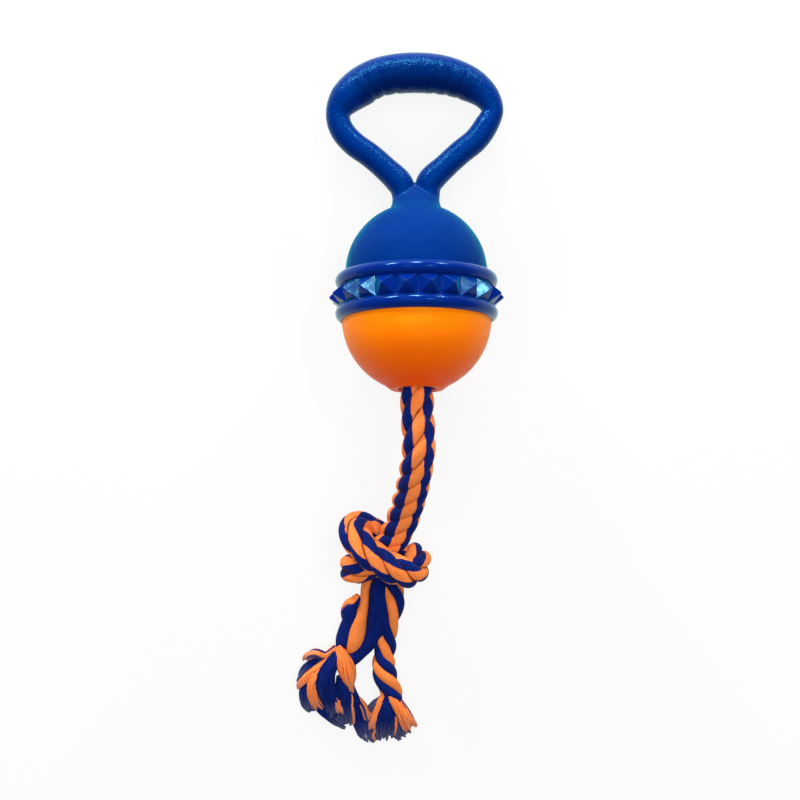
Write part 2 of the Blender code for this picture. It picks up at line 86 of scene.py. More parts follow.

# %% [markdown]
# ## Camera
# The photograph looks straight down on the toy from a little over a metre, turned only a few degrees. A long lens
# keeps the ball and the rope's ends at nearly the same scale. The camera is placed first.

# %% Place the camera
CAMERA_PLACE = Vector((-0.02860, 0.07013, 1.23529))
LOOK_TILT = math.radians(7.3)
LOOK_SIDE = math.radians(-1.0)
SENSOR_MM = 36.0
FOCAL_PX, PHOTO_PX = 2565.75, 800
back = Vector((
    math.sin(LOOK_SIDE) * math.cos(LOOK_TILT),
    math.sin(LOOK_TILT),
    math.cos(LOOK_SIDE) * math.cos(LOOK_TILT),
)).normalized()
right = Vector((0, 1, 0)).cross(back).normalized()
up = back.cross(right)
turn = Matrix((right, up, back)).transposed()
camera_data = bpy.data.cameras.new("photo camera")
camera_data.sensor_width = SENSOR_MM
camera_data.lens = SENSOR_MM * FOCAL_PX / PHOTO_PX
camera = scene_object("photo camera", camera_data)
camera.matrix_world = Matrix.LocRotScale(CAMERA_PLACE, turn.to_quaternion(), None)
bpy.context.scene.camera = camera
print("lens", round(camera_data.lens, 1), "mm")

# %% [markdown]
# ## Lines to sweep along
# A rope, a yarn and the handle are all a cross-section carried along a line. Blender's curve object could bevel a
# line, but it can't lay four strands round it or tell the material how far along the rope a point is. So a line is
# kept as an array of points, and three small helpers smooth it, space it evenly and carry two side directions along
# it without twist.

# %% Helpers for lines
def unit(rows):
    return rows / np.maximum(np.linalg.norm(rows, axis=-1, keepdims=True), 1e-12)


def smooth_line(points, steps=12):
    """A Catmull-Rom line through the points. Extra columns, such as a radius, are smoothed too."""
    rows = np.array(points, float)
    rows = np.vstack([2 * rows[0] - rows[1], rows, 2 * rows[-1] - rows[-2]])
    out = []
    for a, b, c, d in zip(rows, rows[1:], rows[2:], rows[3:]):
        for t in np.arange(steps) / steps:
            square = (2 * a - 5 * b + 4 * c - d) * t**2
            cube = (3 * b - a - 3 * c + d) * t**3
            out.append(0.5 * (2 * b + (c - a) * t + square + cube))
    out.append(rows[-2])
    return np.array(out)


def even_line(rows, step):
    """The same line with its points an even step apart, and the distance along it of each."""
    gaps = np.linalg.norm(np.diff(rows[:, :3], axis=0), axis=1)
    far = np.concatenate([[0.0], np.cumsum(gaps)])
    count = max(3, int(round(far[-1] / step)) + 1)
    along = np.linspace(0, far[-1], count)
    return np.column_stack([np.interp(along, far, rows[:, k]) for k in range(rows.shape[1])]), along


def carried_sides(line):
    """Two side directions carried along the line without twist. The first starts out along X."""
    heading = unit(np.gradient(line, axis=0))
    side = np.zeros_like(heading)
    last = np.array([1.0, 0.0, 0.0])
    for i, h in enumerate(heading):
        last = last - h * last.dot(h)
        last = last / np.linalg.norm(last)
        side[i] = last
    return side, np.cross(heading, side)


# %% [markdown]
# ## From rings to a mesh
# Every swept piece is a stack of rings. One helper joins the rings with faces and closes the ends. It also stores
# where each point would lie if the rope were pulled straight. The rope's material reads that place, so its colours
# and fibres follow the rope through every bend of the knot.

# %% Helpers for swept meshes
def new_piece(name, mesh, body=None):
    piece = scene_object(name, mesh)
    if body:
        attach(piece, body)
    return piece


def store_values(mesh, name, values):
    """Keeps one number for each point, for a material to read."""
    mesh.attributes.new(name, "FLOAT", "POINT").data.foreach_set("value", np.asarray(values, np.float32))


class Rings:
    """Collects closed tubes made of rings, with the straightened place, tone and fraying of each point."""

    def __init__(self):
        self.points, self.straight, self.tone, self.frayed, self.faces = [], [], [], [], []

    def add(self, rings, straight, tone=0.0, frayed=0.0):
        """rings and straight are arrays of ring, point, xyz. frayed is one number or one for each ring."""
        count, around = rings.shape[:2]
        first = len(self.points)
        self.points.extend(rings.reshape(-1, 3))
        self.straight.extend(straight.reshape(-1, 3))
        self.tone.extend([tone] * (count * around))
        self.frayed.extend(np.repeat(np.broadcast_to(frayed, count), around))
        for i in range(count - 1):
            for k in range(around):
                n = (k + 1) % around
                a = first + i * around
                b = a + around
                self.faces.append((a + k, a + n, b + n, b + k))
        self.faces.append(tuple(first + k for k in reversed(range(around))))
        last = first + (count - 1) * around
        self.faces.append(tuple(last + k for k in range(around)))

    def mesh(self, name):
        mesh = bpy.data.meshes.new(name)
        mesh.from_pydata([tuple(p) for p in self.points], [], self.faces)
        spot = mesh.attributes.new("straight", "FLOAT_VECTOR", "POINT")
        spot.data.foreach_set("vector", np.array(self.straight, np.float32).ravel() / MM)
        store_values(mesh, "tone", self.tone)
        store_values(mesh, "frayed", self.frayed)
        mesh.shade_smooth()
        mesh.set_sharp_from_angle(angle=math.radians(60))
        print(name, len(mesh.vertices), "points")
        return mesh


# %% [markdown]
# ## The rope's route
# The rope comes straight out of the mouth, droops under its own weight, and makes one overhand knot that lies on the
# floor. Its points are the CAD model's own, so that the detailed rope lies where MuJoCo's solids are.

# %% The rope's centreline
KNOT_REACH = 83.1 * MM
KNOT_SIDE = 15.1 * MM
# In millimetres, like the routes' numbers
KNOT_HEIGHT = 20.0
ROPE_RADIUS = 7.95 * MM
KNOT_SQUEEZE = 0.35 * MM
THROAT = 12 * MM


def on_run(share, x, z):
    """A rope point: its share of the way from the mouth to the knot, then its side and height in millimetres."""
    return Vector((MOUTH.x + x * MM, MOUTH.y - share * KNOT_REACH, z * MM))


def from_knot(x, y, z):
    """A point given in millimetres from the floor under the knot's centre."""
    return Vector((MOUTH.x - KNOT_SIDE, MOUTH.y - KNOT_REACH, 0)) + Vector((x, y, z)) * MM


ROPE_ROUTE = [
    on_run(0.2623, 0.7, 55.0),
    on_run(0.3887, 0.4, 53.0),
    on_run(0.5090, -1.0, 47.6),
    on_run(0.6294, -2.8, 40.0),
    on_run(0.7304, -4.9, 33.0),
    on_run(0.8147, -7.0, 28.4),
]
KNOT_ROUTE = [
    (4.2, 6.6, 3.0), (-2.4, -1.4, 2.0), (-9.4, -7.2, -0.6), (-14.6, -9.4, -5.6), (-11.0, -10.4, -11.4),
    (-1.0, -8.8, -12.5), (9.6, -5.6, -10.4), (15.2, -4.6, -3.0), (13.2, -9.0, 6.0), (5.8, -7.0, 11.6),
    (-2.2, -2.4, 12.8), (-9.8, 3.6, 11.2), (-14.6, 10.2, 5.0), (-11.6, 11.4, -3.4), (-4.2, 6.6, -8.0),
    (0.2, -1.6, -7.6), (0.6, -9.4, -8.6), (0.3, -15.8, -10.2),
]
inside = [MOUTH + TO_HANDLE * THROAT, MOUTH + TO_HANDLE * THROAT / 2, SWING_PIVOT, SWING_PIVOT - TO_HANDLE * 5 * MM]
knot = [from_knot(x, y, KNOT_HEIGHT + z) for x, y, z in KNOT_ROUTE]
rope_line, rope_along = even_line(smooth_line(inside + ROPE_ROUTE + knot), 0.7 * MM)
rope_length = float(rope_along[-1])
print("rope's centreline", round(rope_length, 4), "m")

# %% [markdown]
# ## Four laid strands
# The rope is laid from four strands that wind round each other like a right-handed screw. The yarns inside a strand
# turn the other way, so they lie along the rope. Each strand has orange yarns on one side and navy yarns on the
# other, and the two twists together put the colours in columns along the rope. A strand is a slightly flat tube
# swept along a screw line round the rope's centreline.

# %% Lay the strands
STRAND_LAY, STRAND_FLAT, STRAND_WIDE = 0.585, 0.415, 0.455


def lay_strands(rings, line, along, outer, turns, tones, around=20, colour_turn=0.0):
    """Adds strands laid round the line. outer is the rope's radius and turns its twist so far, at each point.

    colour_turn is how far, in radians, the colours are turned about the line at each point."""
    side, other = carried_sides(line)
    outer = np.broadcast_to(outer, along.shape)
    turned = np.broadcast_to(colour_turn, along.shape)[:, None]
    for k, tone in enumerate(tones):
        turn = 2 * math.pi * (turns + k / len(tones))
        out = np.cos(turn)[:, None] * side + np.sin(turn)[:, None] * other
        centre = line + (STRAND_LAY * outer)[:, None] * out
        run = unit(np.gradient(centre, axis=0))
        across = unit(np.cross(run, out))
        out = np.cross(across, run)
        angle = 2 * math.pi * np.arange(around) / around
        ring = (
            centre[:, None]
            + out[:, None] * ((STRAND_FLAT * outer)[:, None] * np.cos(angle))[..., None]
            + across[:, None] * ((STRAND_WIDE * outer)[:, None] * np.sin(angle))[..., None]
        )
        off = (ring - line[:, None]) * (ROPE_RADIUS / outer)[:, None, None]
        x, y = (off * side[:, None]).sum(2), (off * other[:, None]).sum(2)
        rings.add(ring, np.stack([
            x * np.cos(turned) + y * np.sin(turned),
            y * np.cos(turned) - x * np.sin(turned),
            np.broadcast_to(along[:, None], x.shape),
        ], 2), tone)


LAY_PITCH = 43.6 * MM
FIRST_TURN = 0.0637
STRIPE_SHIFT = 0.05
BOTH_COLOURS = 0.0
# The rope is pressed a little thinner in the knot, and its end tapers
SQUEEZE_FROM, SQUEEZE_TO = 85 * MM, 105 * MM
END_TAPER, END_SHARE = 7 * MM, 0.55
rope_rings = Rings()
rope_outer = np.interp(rope_along, [SQUEEZE_FROM, SQUEEZE_TO, rope_length - END_TAPER, rope_length],
                       [ROPE_RADIUS, ROPE_RADIUS - KNOT_SQUEEZE, ROPE_RADIUS - KNOT_SQUEEZE, END_SHARE * ROPE_RADIUS])
# Over the knot's front the colours run along the rope: one orange stripe keeps facing up
STRAP_FROM, STRAP_TO = KNOT_ROUTE[8], KNOT_ROUTE[12]
side, other = carried_sides(rope_line)
stripe_up = np.unwrap(np.arctan2(other[:, 2], side[:, 2])) - STRIPE_SHIFT
run_end, strap_from, strap_to = (
    int(np.argmin(np.linalg.norm(rope_line - np.array(p), axis=1)))
    for p in (ROPE_ROUTE[-1], *(from_knot(x, y, KNOT_HEIGHT + z) for x, y, z in (STRAP_FROM, STRAP_TO)))
)
quarter = math.pi / 2
stripe_up -= quarter * round(stripe_up[strap_from] / quarter)
steps = np.arange(len(rope_line))
colour_turn = np.where(
    steps < strap_from,
    stripe_up[strap_from] * np.clip((steps - run_end) / (strap_from - run_end), 0, 1),
    stripe_up[np.minimum(steps, strap_to)],
)
lay_strands(rope_rings, rope_line, rope_along, rope_outer, rope_along / LAY_PITCH + FIRST_TURN, [BOTH_COLOURS] * 4,
            colour_turn=colour_turn)
rope = new_piece("rope", rope_rings.mesh("rope"))

# %% [markdown]
# ## The unlaid tails
# Below the knot the rope parts into two tails of two strands each. The left one has lost its twist: its orange and
# navy yarns lie side by side as three soft lobes. The right one is still twisted, with its colours as slanting
# stripes. A lobe is a tube with its own width and height at each point, so it can flatten and swell.

# %% Tubes with a width, a height and a side for each colour
LUMP_ROUND, LUMP_ALONG = 1.3, 0.16


def resting(line, radius, clear=0.15 * MM):
    """The line lifted where its tube would sink into the floor."""
    line = line.copy()
    line[:, 2] = np.maximum(line[:, 2], radius + clear)
    return line


def tube(rings, line, along, wide, tall, facing=0.0, tone=0.0, around=18, lumps=0.0, seed=0.0, frayed=0.0):
    """Adds one tube. wide and tall are half its width and height. Its orange yarns face the angle facing."""
    side, other = carried_sides(line)
    wide, tall, facing = (np.broadcast_to(v, along.shape)[:, None] for v in (wide, tall, facing))
    angle = 2 * math.pi * np.arange(around) / around
    swell = np.ones((len(along), around))
    if lumps:
        for i, far in enumerate(along):
            for k, a in enumerate(angle):
                spot = Vector((math.cos(a) * LUMP_ROUND, math.sin(a) * LUMP_ROUND, far / MM * LUMP_ALONG + seed))
                swell[i, k] += lumps * noise.noise(spot)
    ring = (
        line[:, None]
        + side[:, None] * (swell * wide * np.cos(angle))[..., None]
        + other[:, None] * (swell * tall * np.sin(angle))[..., None]
    )
    yarn = angle - facing
    rings.add(ring, np.stack([
        wide * np.cos(yarn),
        wide * np.sin(yarn),
        np.broadcast_to(along[:, None] + seed * 0.01, yarn.shape),
    ], 2), tone, frayed)


def guide(rows, step):
    """A smooth line through rows of x, y, z from the knot. Their other values follow, all scaled as lengths."""
    rows = [(*from_knot(*row[:3]), *(value * MM for value in row[3:])) for row in rows]
    rows, along = even_line(smooth_line(rows), step)
    return rows[:, :3], along, *rows[:, 3:].T


# %% Left tail's three lobes
# Each row is x, y, z, half width, half height and, in degrees, where the orange yarns face: 90 is up.
NAVY_LOBE = [
    (-11.6, -24.6, 9.2, 2.4, 2.8, 170), (-14.2, -27.4, 9.2, 3.2, 3.4, 175), (-16.2, -29.7, 9.0, 4.0, 4.2, 205),
    (-16.5, -32.8, 8.6, 4.6, 4.6, 265), (-16.2, -36.9, 8.0, 4.1, 4.4, 270), (-17.9, -41.5, 7.4, 4.3, 4.3, 270),
    (-19.7, -46.5, 7.0, 3.9, 4.2, 270), (-20.9, -51.2, 6.4, 2.8, 3.6, 270),
]
ORANGE_LOBE = [
    (-7.7, -14.9, 11.5, 2.4, 2.8, 90), (-8.9, -19.9, 11.0, 2.3, 2.8, 90), (-9.4, -25.9, 10.6, 2.3, 3.0, 90),
    (-10.4, -32.0, 10.0, 2.9, 3.4, 90), (-12.6, -38.1, 9.2, 4.2, 4.0, 90), (-13.8, -44.3, 8.4, 4.7, 4.3, 90),
    (-15.0, -48.6, 7.4, 4.2, 4.0, 90), (-16.0, -51.8, 5.6, 3.2, 3.2, 60), (-16.8, -53.6, 4.4, 2.4, 2.6, 0),
]
RIGHT_LOBE = [
    (-1.8, -13.4, 12.0, 2.7, 3.2, 270), (-2.4, -18.0, 11.3, 3.9, 4.0, 270), (-2.6, -23.0, 10.6, 4.9, 4.6, 270),
    (-2.3, -29.1, 10.0, 5.6, 5.0, 270), (-2.8, -35.2, 9.2, 5.9, 4.9, 270), (-4.0, -41.4, 8.2, 4.8, 4.6, 270),
    (-6.7, -46.5, 7.4, 4.2, 4.2, 270), (-11.1, -51.8, 6.8, 3.8, 3.8, 270), (-15.5, -55.8, 6.4, 3.8, 3.8, 270),
    (-20.0, -57.6, 5.6, 3.2, 3.4, 270),
]
left_rings = Rings()
for seed, (rows, tone) in enumerate(((NAVY_LOBE, -0.4), (ORANGE_LOBE, 0.7), (RIGHT_LOBE, -0.7))):
    line, along, wide, tall, facing = guide(rows, 0.6 * MM)
    tube(left_rings, resting(line, tall), along, wide, tall, np.radians(facing / MM), tone, 32, 0.08, seed * 3.1)
left_tail = new_piece("left_tail_strands", left_rings.mesh("left_tail_strands"))

# %% Right tail's twist
# Each row is x, y, z, radius and the stripe that faces up: even numbers are orange and odd ones navy.
RIGHT_TAIL = [
    (2.5, -14.9, 11.5, 4.6, -1.3), (4.5, -19.9, 11.2, 5.0, -0.9), (5.2, -25.0, 10.6, 5.4, -0.45),
    (4.0, -31.2, 9.4, 5.4, 0.1), (2.3, -37.4, 8.2, 5.3, 0.6), (1.3, -43.6, 7.2, 5.3, 1.2),
    (0.9, -49.2, 6.5, 5.4, 1.85), (0.1, -54.8, 6.1, 5.3, 2.5), (0.1, -60.8, 6.3, 6.0, 3.5),
    (1.3, -66.8, 6.2, 5.9, 4.35), (3.6, -72.4, 5.8, 5.4, 4.95), (5.0, -76.9, 5.8, 5.0, 5.6),
]
ORANGE, NAVY = 2.0, -2.0
STRIPES = (ORANGE, NAVY, ORANGE, NAVY)
line, along, radius, stripe = guide(RIGHT_TAIL, 0.6 * MM)
right_rings = Rings()
lay_strands(right_rings, resting(line, radius * 0.98), along, radius, (1 - stripe / MM) / len(STRIPES), STRIPES, 24)
right_tail = new_piece("right_tail_strands", right_rings.mesh("right_tail_strands"))

# %% [markdown]
# ## The frayed ends
# Each tail ends in loose yarns on the floor. They still keep together in soft bundles of one colour, as they come from
# the same part of a strand, so the ends show broad orange and navy patches. A bundle is a slim core with a skin of
# thin yarns that turn slowly round it and are cut at different lengths. A seeded generator draws the lengths and
# small waves, so that each run gives the same ends.

# %% Bundles of loose yarns
YARN_RADIUS = 0.8 * MM
FRAY_REACH = 14 * MM
YARNS_PER_MM = 2.2
# The few yarns in a bundle that have the other colour
STRAY_SHARE = 0.05


def bundle(rings, rows, tone, draw):
    """Adds one bundle. A row is x, y, z, half width and half height, in millimetres from the knot."""
    line, along, wide, tall = guide(rows, 1.2 * MM)
    line = resting(line, tall * 0.8)
    side, other = carried_sides(line)
    share = along / along[-1]
    core = share < 0.9
    slim = np.clip(1 - YARN_RADIUS / tall, 0.35, 0.85)
    fray = np.clip(1 - (along[-1] - along) / FRAY_REACH, 0, 1)
    tube(rings, line[core], along[core], (wide * slim)[core], (tall * slim)[core], 0, tone, 14, frayed=fray[core])
    count = int(round(YARNS_PER_MM * float((wide + tall).mean()) / MM))
    drift = draw.uniform(0.1, 0.22)
    for i in range(count):
        turn = 2 * math.pi * ((i + draw.uniform(-0.2, 0.2)) / count + drift * share)
        wave = 0.35 * MM * np.sin(2 * math.pi * (share * draw.uniform(1, 2) + draw.random())) * share
        offset = (
            side * ((wide - YARN_RADIUS * 0.7) * np.cos(turn) + wave)[:, None]
            + other * ((tall - YARN_RADIUS * 0.7) * np.sin(turn))[:, None]
        )
        last = max(6, int(len(along) * draw.uniform(0.84, 1.0)))
        taper = np.interp(along[last - 1] - along[:last], [0, 0.7 * MM, 2 * MM], [0.5, 0.95, 1.0])
        size = YARN_RADIUS * draw.uniform(0.85, 1.2) * taper
        own = tone if draw.random() > STRAY_SHARE else -tone
        yarn = resting((line + offset)[:last], size)
        tube(rings, yarn, along[:last], size, size, 0, own, 7, 0.2, i * 0.77, fray[:last])


def frayed_end(name, bundles, seed, body):
    draw = np.random.default_rng(seed)
    rings = Rings()
    for tone, *rows in bundles:
        bundle(rings, rows, tone, draw)
    return new_piece(name, rings.mesh(name), body)


# %% Left frayed end
left_tuft = frayed_end("left_tuft_yarns", [
    # The curl at its far left
    (ORANGE, (-23.3, -49.8, 8.0, 1.6, 2.4), (-28.2, -53.7, 8.4, 1.9, 2.4), (-33.1, -52.6, 8.6, 2.0, 2.4),
     (-36.5, -54.3, 7.6, 2.0, 2.2), (-38.5, -58.2, 6.0, 1.8, 2.0)),
    (NAVY, (-24.3, -54.1, 6.5, 2.0, 2.6), (-30.2, -56.6, 6.5, 2.4, 2.8), (-35.6, -59.2, 6.0, 2.6, 2.6),
     (-39.1, -63.5, 4.8, 2.4, 2.4), (-41.1, -69.3, 3.4, 2.2, 2.2)),
    (ORANGE, (-22.8, -51.2, 8.5, 1.5, 2.2), (-27.2, -55.6, 8.6, 1.8, 2.2), (-32.6, -60.2, 8.0, 1.9, 2.2),
     (-37.6, -65.1, 6.4, 1.9, 2.0), (-41.1, -70.1, 4.4, 1.9, 1.9), (-40.6, -74.5, 2.8, 1.7, 1.7)),
    # Outer left
    (NAVY, (-29.3, -61.1, 4.5, 2.6, 3.0), (-34.2, -67.0, 4.6, 3.4, 3.2), (-38.1, -73.2, 4.0, 3.4, 2.8),
     (-37.2, -79.5, 3.0, 3.2, 2.2), (-33.3, -83.7, 2.4, 3.0, 1.8)),
    (ORANGE, (-23.8, -53.4, 7.5, 2.0, 2.4), (-28.7, -59.2, 8.2, 2.4, 2.6), (-33.6, -65.8, 7.8, 2.7, 2.6),
     (-35.2, -72.6, 6.2, 2.8, 2.4), (-33.2, -78.1, 4.4, 2.6, 2.2), (-29.8, -82.5, 3.0, 2.2, 1.8)),
    # Middle
    (NAVY, (-22.3, -51.8, 8.0, 2.4, 3.0), (-25.3, -57.0, 9.0, 3.6, 3.8), (-28.2, -63.5, 9.2, 4.4, 4.2),
     (-28.3, -70.2, 8.2, 4.8, 4.0), (-25.4, -76.7, 6.2, 4.8, 3.4), (-23.5, -83.3, 4.0, 4.2, 2.6),
     (-24.5, -87.6, 2.8, 3.6, 2.0)),
    (ORANGE, (-22.3, -49.2, 8.2, 1.8, 3.0), (-20.4, -54.1, 9.0, 3.4, 3.8), (-18.7, -59.0, 9.2, 4.4, 4.2),
     (-17.3, -64.1, 8.8, 3.6, 3.8), (-16.3, -69.4, 7.6, 1.8, 3.0), (-16.1, -73.8, 6.0, 1.2, 2.0)),
    # Right side, down to the tip
    (NAVY, (-16.0, -52.9, 5.5, 3.0, 3.6), (-16.5, -57.9, 5.6, 3.1, 4.0), (-18.0, -62.9, 5.6, 3.2, 4.2),
     (-18.5, -69.9, 5.4, 3.9, 4.0), (-16.5, -77.0, 4.8, 4.6, 3.4), (-13.1, -83.0, 3.8, 4.8, 2.8),
     (-8.7, -94.3, 2.8, 4.2, 2.2), (-5.8, -98.4, 2.4, 3.4, 1.8)),
    (NAVY, (-19.5, -64.8, 5.8, 3.4, 3.6), (-19.5, -71.7, 6.2, 4.4, 4.0), (-18.5, -78.9, 5.6, 4.6, 3.6),
     (-17.1, -85.3, 4.2, 4.4, 2.8), (-16.1, -90.7, 2.8, 4.0, 2.0)),
    (ORANGE, (-26.4, -72.2, 4.0, 2.0, 2.4), (-23.9, -76.2, 6.4, 2.6, 2.6), (-21.5, -79.6, 6.6, 2.8, 2.6),
     (-20.0, -84.1, 4.8, 2.6, 2.4)),
    (NAVY, (-32.3, -77.5, 3.0, 3.6, 2.2), (-28.4, -82.1, 2.8, 4.0, 2.2), (-22.5, -86.7, 2.6, 4.0, 2.0),
     (-16.6, -90.3, 2.4, 3.4, 1.8)),
], 7, "tail_left")

# %% Right frayed end
right_tuft = frayed_end("right_tuft_yarns", [
    (ORANGE, (1.1, -72.9, 6.0, 1.6, 2.4), (-1.4, -78.2, 6.6, 2.2, 2.6), (-3.6, -83.9, 5.8, 2.3, 2.4),
     (-5.8, -90.4, 4.0, 1.8, 2.0), (-6.8, -94.3, 2.6, 1.4, 1.6)),
    (ORANGE, (-12.6, -76.8, 4.0, 1.4, 1.8), (-9.9, -80.6, 4.8, 1.9, 2.2), (-8.2, -84.7, 4.6, 2.1, 2.2),
     (-5.8, -88.5, 3.8, 1.8, 2.0)),
    (NAVY, (-0.4, -76.3, 4.4, 1.6, 2.2), (-3.8, -79.2, 4.6, 2.0, 2.4), (-6.7, -81.8, 4.2, 2.2, 2.2),
     (-8.7, -83.0, 3.4, 1.8, 2.0)),
    (NAVY, (2.1, -73.0, 5.6, 2.6, 3.4), (1.6, -78.8, 6.2, 3.8, 4.2), (1.3, -85.0, 5.8, 5.4, 4.0),
     (1.6, -91.4, 4.4, 6.0, 3.2), (2.1, -98.3, 2.8, 5.6, 2.2)),
    (ORANGE, (2.1, -71.5, 7.4, 2.4, 2.8), (4.5, -76.4, 7.8, 3.0, 3.2), (7.5, -81.7, 7.0, 3.3, 3.2),
     (10.9, -87.7, 5.2, 3.7, 2.8), (14.4, -93.7, 3.4, 3.6, 2.4)),
    (NAVY, (6.0, -76.2, 4.6, 2.0, 2.4), (9.0, -80.8, 4.4, 2.2, 2.4), (11.9, -85.6, 3.6, 2.0, 2.2),
     (14.9, -89.8, 2.8, 1.8, 1.8)),
    (NAVY, (4.1, -83.5, 3.8, 3.6, 3.0), (6.5, -88.5, 3.8, 4.4, 2.8), (9.0, -93.8, 3.0, 4.6, 2.2),
     (11.0, -97.0, 2.4, 4.2, 1.8)),
    (NAVY, (-3.3, -83.5, 3.6, 2.6, 2.6), (-4.8, -89.6, 3.2, 3.2, 2.4), (-5.3, -95.3, 2.6, 3.2, 2.0),
     (-2.8, -98.5, 2.2, 2.8, 1.7)),
], 11, "tail_right")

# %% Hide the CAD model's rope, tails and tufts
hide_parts("rope_throat", "rope_run", "rope_knot")
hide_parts("left_tail")
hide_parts("right_tail")
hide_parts("left_tuft")
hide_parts("right_tuft")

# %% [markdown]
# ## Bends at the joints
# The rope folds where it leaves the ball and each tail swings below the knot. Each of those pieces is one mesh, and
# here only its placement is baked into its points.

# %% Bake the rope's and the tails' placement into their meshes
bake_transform(rope)
for piece, joint, toward, child in (
    (left_tail, "left_tail_swing", (-0.35, -1, 0), "tail_left"),
    (right_tail, "right_tail_swing", (-0.05, -1, 0), "tail_right"),
):
    toward = Vector(toward).normalized()
    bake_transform(piece)

# %% [markdown]
# ## Handle loop
# The handle is one soft tube: a thick bar for the hand and two thinner legs that join in a neck on the dome. The tube
# is swept along its measured line, the neck is a second tube whose foot flares to meet the dome, and a voxel remesh
# melts the two into one skin, as moulded rubber has no seams there. Shallow ribs for grip run round the bar's inner
# side and end on its outer one. They are pressed in after the remesh, from each point's place along the bar.

# %% Handle's line and sizes
DOME_CROWN_Z = 44.5 * MM
BAR_RISE = 63.9
# Each side of the soft loop hangs in its own way, so each has its own rows: distance from the middle, height over the
# dome's crown and radius, in millimetres, from the bar down to the neck
MIDDLE = (0.0, BAR_RISE, 9.6)
LEFT_SIDE = [
    (10.1, 63.2, 9.5), (18.8, 61.1, 9.3), (26.6, 56.4, 9.3), (33.1, 50.8, 8.0), (36.6, 43.9, 5.9), (34.9, 36.3, 5.8),
    (29.2, 29.4, 5.9), (21.6, 23.8, 5.9), (14.4, 17.4, 5.9), (7.6, 10.4, 6.3), (5.8, 4.5, 5.5), (5.3, -3.0, 5.5),
]
RIGHT_SIDE = [
    (10.1, 63.2, 9.5), (18.8, 61.2, 9.0), (27.0, 57.5, 8.2), (33.4, 52.3, 6.6), (36.5, 45.4, 5.2), (33.2, 37.9, 5.8),
    (28.2, 31.0, 5.9), (21.2, 25.2, 5.9), (14.2, 18.7, 5.9), (6.6, 11.0, 6.4), (5.8, 4.5, 5.5), (5.3, -3.0, 5.5),
]
loop = [(-x, z, r) for x, z, r in reversed(LEFT_SIDE)] + [MIDDLE] + RIGHT_SIDE
loop_rows = [(x * MM, 0, DOME_CROWN_Z + z * MM, r * MM) for x, z, r in loop]
handle_rows, handle_along = even_line(smooth_line(loop_rows), 0.8 * MM)


# %% Sweep the loop and melt the neck into it
def ball_piece(name, mesh, body="ball"):
    """A piece whose mesh is made in the ball's own frame."""
    mesh.transform(BALL_PLACE)
    return new_piece(name, mesh, body)


def revolved(name, profile, steps):
    """A closed profile of (radius, z) points, in millimetres, turned about Z."""
    points, faces = [], []
    count = len(profile)
    for i in range(steps):
        angle = 2 * math.pi * i / steps
        points += [(r * MM * math.cos(angle), r * MM * math.sin(angle), z * MM) for r, z in profile]
    for i in range(steps):
        n = (i + 1) % steps
        for k in range(count):
            m = (k + 1) % count
            faces.append((i * count + k, i * count + m, n * count + m, n * count + k))
    mesh = bpy.data.meshes.new(name)
    mesh.from_pydata(points, [], faces)
    return mesh


def made_by(mesh, *settings):
    """The mesh after modifiers, each given as its kind and its values."""
    helper = scene_object("helper", mesh)
    for kind, values in settings:
        modifier = helper.modifiers.new(kind, kind)
        for key, value in values.items():
            setattr(modifier, key, value)
    bpy.context.view_layer.update()
    graph = bpy.context.evaluated_depsgraph_get()
    result = bpy.data.meshes.new_from_object(helper.evaluated_get(graph))
    bpy.data.objects.remove(helper)
    return result


# The neck's sections: height over the crown, half width and half thickness. Its foot flares to meet the dome.
NECK = [
    (-10.0, 12.6, 23.2), (-8.0, 12.8, 22.0), (-6.0, 12.9, 19.9), (-4.5, 12.9, 17.8), (-3.0, 12.6, 15.6),
    (-1.5, 11.9, 13.4), (0.0, 11.4, 11.2), (1.5, 11.1, 9.4), (3.0, 10.9, 7.8), (4.5, 10.2, 6.6), (6.0, 7.8, 5.6),
    (7.6, 4.6, 4.4), (8.8, 1.4, 2.5),
]
VOXEL = 0.5 * MM
loop_rings = Rings()
tube(loop_rings, handle_rows[:, :3], handle_along, handle_rows[:, 3], handle_rows[:, 3], around=40)
neck_rows = smooth_line([(0, 0, DOME_CROWN_Z + z * MM, x * MM, y * MM) for z, x, y in NECK], 4)
neck_rows, neck_along = even_line(neck_rows, 0.35 * MM)
tube(loop_rings, neck_rows[:, :3], neck_along, neck_rows[:, 3], neck_rows[:, 4], around=64)
loop_mesh = made_by(loop_rings.mesh("handle tube"), ("REMESH", {"mode": "VOXEL", "voxel_size": VOXEL}),
                    ("SMOOTH", {"factor": 0.5, "iterations": 8}))
print("handle", len(loop_mesh.vertices), "points")

# %% Press the grip ribs into the bar
RIB_PITCH = 6.9 * MM
RIB_DEPTH = 0.42 * MM
RIB_REACH = 32 * MM
PLAIN_MIDDLE = 6 * MM
# facing, below, falls from 1 on the bar's inner side to -1 on its outer side. The ribs end where it is this.
RIBS_END = -0.62
spots = np.array([v.co for v in loop_mesh.vertices])
middle = handle_along[np.argmin(np.abs(handle_rows[:, 0]))]
nearest = np.array([np.argmin(((handle_rows[:, :3] - p) ** 2).sum(1)) for p in spots])
along = handle_along[nearest] - middle
out = unit(spots - handle_rows[nearest, :3])
inward = unit(np.array([0, 0, DOME_CROWN_Z + 40 * MM]) - handle_rows[nearest, :3])
facing = (out * inward).sum(1)
ribbed = np.clip((facing - RIBS_END) * 2.5, 0, 1)
plain = np.clip((facing - 0.3) * 2, 0, 1) * np.clip(1.6 - np.abs(along) / PLAIN_MIDDLE, 0, 1)
fade = np.clip((RIB_REACH - np.abs(along)) / (6 * MM), 0, 1)
valley = (0.5 - 0.5 * np.cos(2 * math.pi * along / RIB_PITCH)) ** 2.5
spots = spots - out * (RIB_DEPTH * ribbed * fade * (1 - plain) * valley)[:, None]
loop_mesh.vertices.foreach_set("co", spots.ravel())
